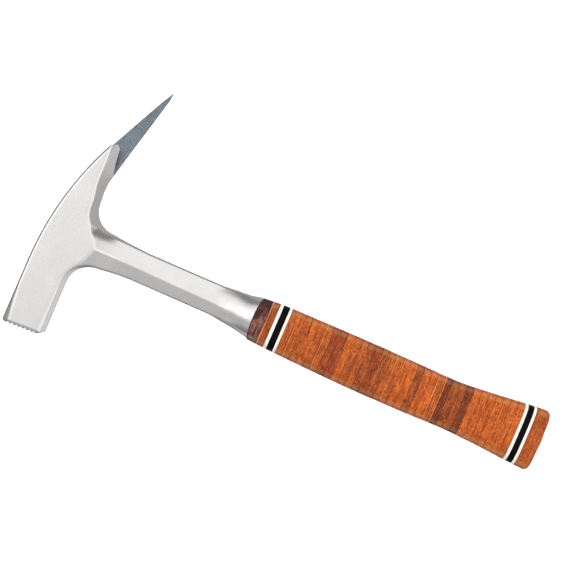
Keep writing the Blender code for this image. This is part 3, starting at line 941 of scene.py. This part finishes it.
def build_floor():
    """Pale plain floor under the hammer."""
    material, _, shader = new_material("floor_white")
    shader.inputs["Base Color"].default_value = (0.9, 0.9, 0.9, 1.0)
    shader.inputs["Roughness"].default_value = 0.9
    shader.inputs["Emission Color"].default_value = (1.0, 1.0, 1.0, 1.0)
    shader.inputs["Emission Strength"].default_value = 0.6
    corners = [(FLOOR_HALF * i, FLOOR_HALF * j, 0.0) for i, j in ((-1, -1), (1, -1), (1, 1), (-1, 1))]
    mesh = bpy.data.meshes.new("floor")
    mesh.from_pydata(corners, [], [(0, 1, 2, 3)])
    mesh.materials.append(material)
    floor = bpy.data.objects.new("floor", mesh)
    bpy.context.scene.collection.objects.link(floor)
    floor.visible_glossy = False


def area_light(name, location, target, size, power, seen_in_steel):
    """Soft square light aimed at a point, with or without a reflection in the steel."""
    data = bpy.data.lights.new(name, "AREA")
    data.size = size
    data.energy = power
    light = bpy.data.objects.new(name, data)
    light.location = location
    light.visible_glossy = seen_in_steel
    aim = Vector(target) - Vector(location)
    light.rotation_euler = aim.to_track_quat("-Z", "Y").to_euler()
    bpy.context.scene.collection.objects.link(light)


def grey_ramp(tree, value, stops):
    """Colour ramp of grey stops over a value."""
    node = add(tree, "ShaderNodeValToRGB")
    ramp = node.color_ramp
    while len(ramp.elements) < len(stops):
        ramp.elements.new(0.5)
    for element, (position, grey) in zip(ramp.elements, stops):
        element.position = position
        element.color = (grey, grey, grey, 1.0)
    tree.links.new(value, node.inputs["Fac"])
    return node.outputs["Color"]


def card(tree, reach, limit):
    """A reflector card: its brightness along one direction, limited along another."""
    return math_node(tree, "MULTIPLY", reach, limit)


def build_world():
    """Studio surround with reflector cards by the handle, low and high up, and at the face side."""
    world = bpy.data.worlds.new("studio")
    world.use_nodes = True
    bpy.context.scene.world = world
    tree = world.node_tree
    coords = add(tree, "ShaderNodeTexCoord")
    split = add(tree, "ShaderNodeSeparateXYZ")
    tree.links.new(coords.outputs["Generated"], split.inputs["Vector"])
    x, y, z = (split.outputs[axis] for axis in "XYZ")
    across = grey_ramp(tree, ranged(tree, y, -1.0, 1.0, 0.0, 1.0), ACROSS_STOPS)
    height = grey_ramp(tree, ranged(tree, z, -1.0, 1.0, 0.0, 1.0), HEIGHT_STOPS)
    light = math_node(tree, "MULTIPLY", across, height)
    narrow = ranged(tree, math_node(tree, "ABSOLUTE", y), 0.14, 0.26, 1.0, 0.0)
    near_floor = ranged(tree, z, -0.90, -0.95, 0.0, 1.0)
    below_level = ranged(tree, z, -0.10, -0.40, 0.0, 1.0)
    overhead = ranged(tree, z, 0.55, 0.68, 0.0, 1.0)
    handle_card = ranged(tree, x, 0.55, 0.85, 0.0, 0.62)
    low_card = card(tree, ranged(tree, x, 0.02, 0.12, 0.0, 0.9), near_floor)
    high_card = card(tree, ranged(tree, x, 0.18, 0.34, 0.0, 1.4), overhead)
    high_card = card(tree, high_card, narrow)
    front_card = card(tree, ranged(tree, y, -0.55, -0.75, 0.0, 0.62), below_level)
    for bright in (handle_card, low_card, high_card, front_card):
        light = math_node(tree, "MAXIMUM", light, bright)
    background = tree.nodes["Background"]
    tree.links.new(light, background.inputs["Color"])
    background.inputs["Strength"].default_value = 1.0


def build_studio():
    """Floor, lights, surround and colour handling."""
    build_floor()
    build_world()
    for light in LIGHTS:
        area_light(*light)
    bpy.context.scene.view_settings.view_transform = "Standard"


steel = steel_material("steel_satin", (0.86, 0.845, 0.835), (0.80, 0.785, 0.775), 0.25, 0.33, 0.0)
# Darker bluish steel painting the shade of the spike behind the prong, and in the teeth also oxide in
# the grooves
shaded_steel = steel_material("steel_painted_shade", (0.250, 0.285, 0.320), (0.175, 0.205, 0.235), 0.28, 0.4, 0.8)
set_piece(make_forging(steel, shaded_steel), "forging")
set_piece(make_end_washer(steel), "end_washer")
build_grip()
build_camera()
build_studio()
